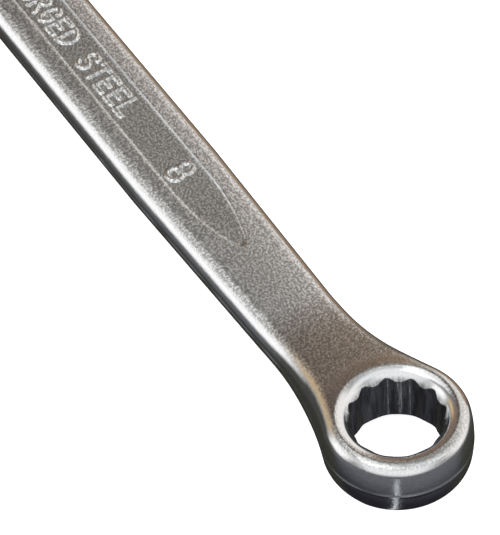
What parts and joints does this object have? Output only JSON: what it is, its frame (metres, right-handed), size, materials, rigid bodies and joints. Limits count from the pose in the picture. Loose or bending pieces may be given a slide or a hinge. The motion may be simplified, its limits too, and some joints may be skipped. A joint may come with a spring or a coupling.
{
  "type": "combination wrench",
  "caption": "Forged chrome-plated combination wrench with an offset twelve-point ring at one end and an angled open jaw at the other, for turning hexagon nuts and bolts.",
  "frame": {"origin": "centre of the ring's socket, on its axis at mid thickness", "axes": "+X along the shank towards the open jaw, +Z out of the marked face, with the ring's axis leaning from +Z towards +X"},
  "size_m": [0.1296, 0.0184, 0.008],
  "materials": {
    "satin_chrome": "satin, with a fine forged grain under the plating",
    "polished_chrome": "polished, on the heads",
    "raised_mark": "satin, bright on the top edges"
  },
  "bodies": {
    "root": {"ring_head": "polished_chrome", "shank": "satin_chrome", "jaw_head": "polished_chrome", "size_marks_top": "raised_mark", "legend_top": "raised_mark", "size_marks_bottom": "raised_mark"}
  },
  "joints": []
}
